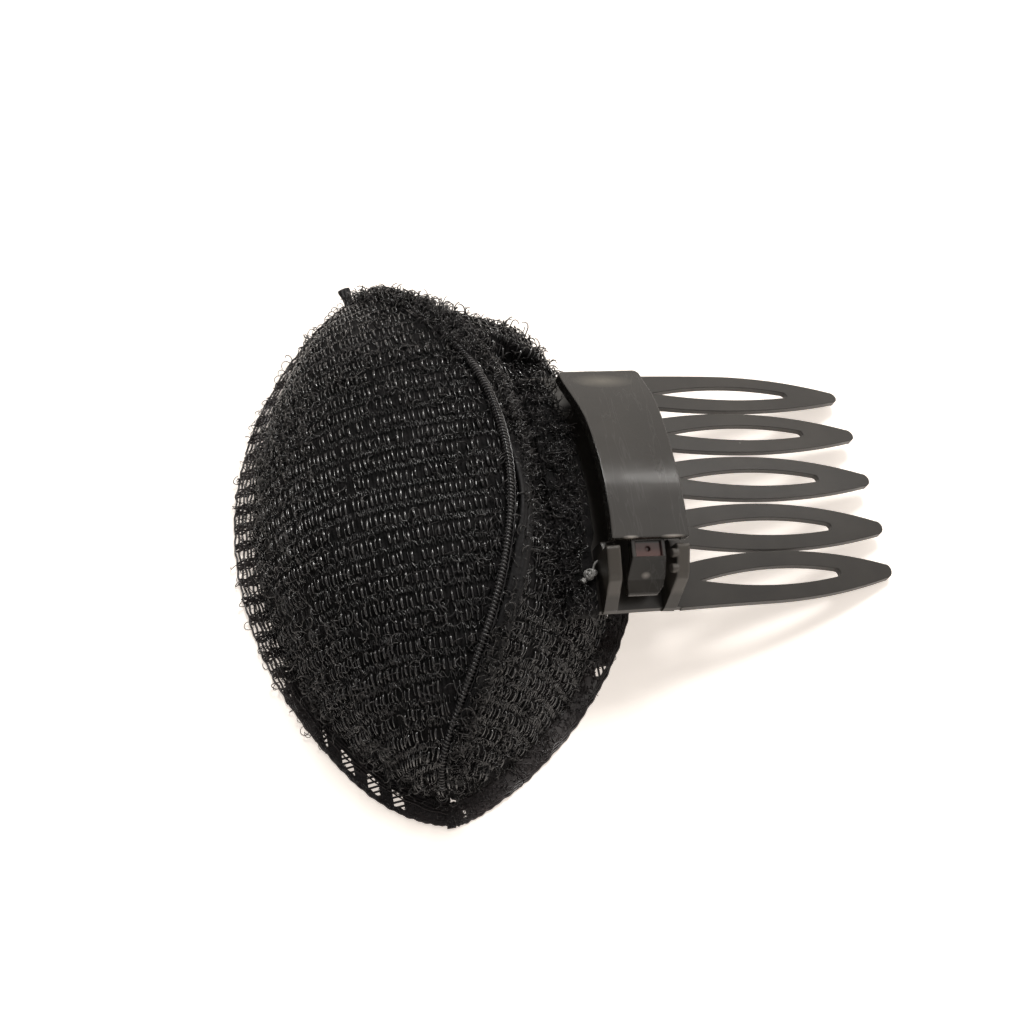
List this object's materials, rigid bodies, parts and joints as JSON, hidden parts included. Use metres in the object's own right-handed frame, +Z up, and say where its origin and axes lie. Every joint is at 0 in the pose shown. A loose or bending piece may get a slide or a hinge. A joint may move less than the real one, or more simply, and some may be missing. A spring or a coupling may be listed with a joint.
{
  "type": "pompadour comb insert",
  "caption": "Hollow dome pad of black hooked net for lifting hair, sewn to a slotted side comb with a hinged clasp bar.",
  "frame": {"origin": "middle of the box's underside, on the surface that the hem rests on", "axes": "+Z up, +X towards the tips of the teeth, +Y along the pad towards the end with the hinge and the tab"},
  "size_m": [0.1044, 0.0999, 0.0302],
  "materials": {
    "hook_net": "black warp-knit net of stiff filament with standing hooks",
    "hem_net": "single layer of black open net",
    "seam_thread": "black overlock thread",
    "binding": "folded black net, smoother",
    "comb_plastic": "moulded dark warm grey plastic, satin",
    "bar_plastic": "moulded dark warm grey plastic, polished and slightly scuffed",
    "knot_thread": "clear grey sewing filament"
  },
  "bodies": {
    "root": {"front_panel": "hook_net", "back_panel": "hook_net", "rim_hem": "hem_net", "seam_cord": "seam_thread", "seam_binding": "binding", "tip_tab": "binding", "comb": "comb_plastic", "hinge_pin": "comb_plastic", "cover_strip": "hook_net", "thread_knot": "knot_thread"},
    "clasp": {"clasp_bar": "bar_plastic"}
  },
  "joints": [
    {"name": "clasp_hinge", "type": "hinge", "parent": "root", "child": "clasp", "pos_m": [0.00891, 0.01148, 0.01971], "axis": [-0.9573, -0.0081, 0.2889], "range_deg": [0, 80]}
  ]
}
